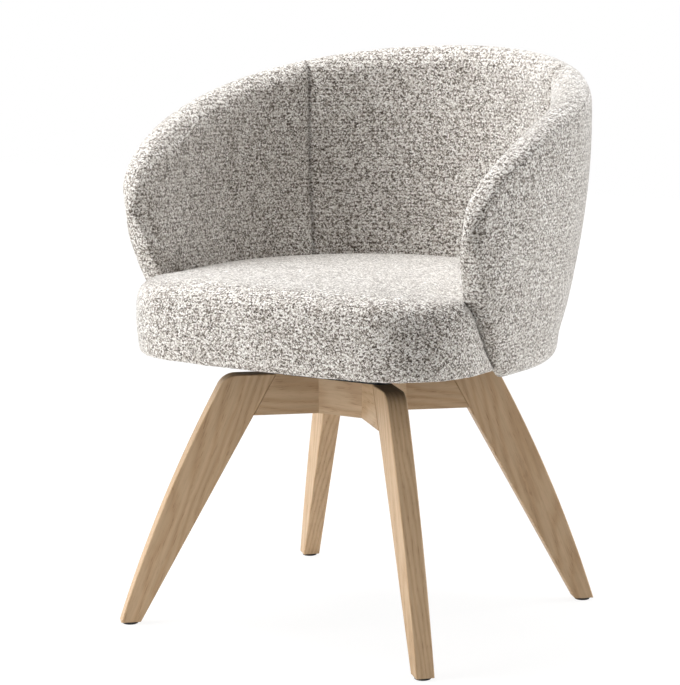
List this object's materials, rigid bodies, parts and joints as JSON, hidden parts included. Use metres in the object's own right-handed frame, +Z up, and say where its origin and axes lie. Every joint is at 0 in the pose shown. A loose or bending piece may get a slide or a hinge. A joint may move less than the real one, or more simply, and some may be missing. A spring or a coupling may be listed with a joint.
{
  "type": "swivel armchair",
  "caption": "Upholstered tub armchair with a rounded back that sweeps down into the arms, turning on a hidden ball-bearing plate over an oak base with splayed flat legs.",
  "frame": {"origin": "on the floor, at the middle of the chair's footprint", "axes": "+Z up, the sitter faces -Y, +X to the sitter's left"},
  "size_m": [0.6348, 0.5776, 0.8023],
  "materials": {
    "oak": "clear matt lacquer",
    "beech": "plain dowel rod",
    "plywood": "raw birch plywood",
    "glide": "moulded black",
    "black_steel": "black powder coat",
    "zinc_steel": "zinc plated",
    "ball_steel": "polished",
    "nylon": "natural nylon",
    "boucle": "looped yarn, off-white with grey",
    "dust_cloth": "black spun cloth"
  },
  "bodies": {
    "base": {"front_right_leg": "oak", "rear_right_leg": "oak", "rear_left_leg": "oak", "front_left_leg": "oak", "front_right_glide": "glide", "rear_right_glide": "glide", "rear_left_glide": "glide", "front_left_glide": "glide", "leg_dowels": "beech", "lower_cross_beam": "oak", "upper_cross_beam": "oak", "front_corner_block": "oak", "right_corner_block": "oak", "rear_corner_block": "oak", "left_corner_block": "oak", "swivel_lower_plate": "black_steel", "lower_swivel_screws": "zinc_steel", "pivot_stud": "zinc_steel", "pivot_washer": "nylon", "lock_nut": "zinc_steel"},
    "bearing_cage": {"ball_cage": "zinc_steel", "bearing_balls": "ball_steel"},
    "tub": {"swivel_upper_plate": "black_steel", "stop_pin": "zinc_steel", "upper_swivel_screws": "zinc_steel", "t_nuts": "zinc_steel", "seat_board": "plywood", "seat_cushion": "boucle", "dust_cover": "dust_cloth", "back_frame": "plywood", "inner_back_pad": "boucle", "outer_back_pad": "boucle", "frame_screws": "zinc_steel"}
  },
  "joints": [
    {"name": "seat_swivel", "type": "hinge", "parent": "base", "child": "tub", "pos_m": [0, -0.02926, 0.37], "axis": [0, 0, 1], "range_deg": [-90, 90]},
    {"name": "cage_turn", "type": "hinge", "parent": "base", "child": "bearing_cage", "pos_m": [0, -0.02926, 0.37], "axis": [0, 0, 1], "range_deg": [-45, 45]}
  ],
  "couplings": [
    {"joint": "cage_turn", "follows": "seat_swivel", "ratio": 0.5}
  ]
}
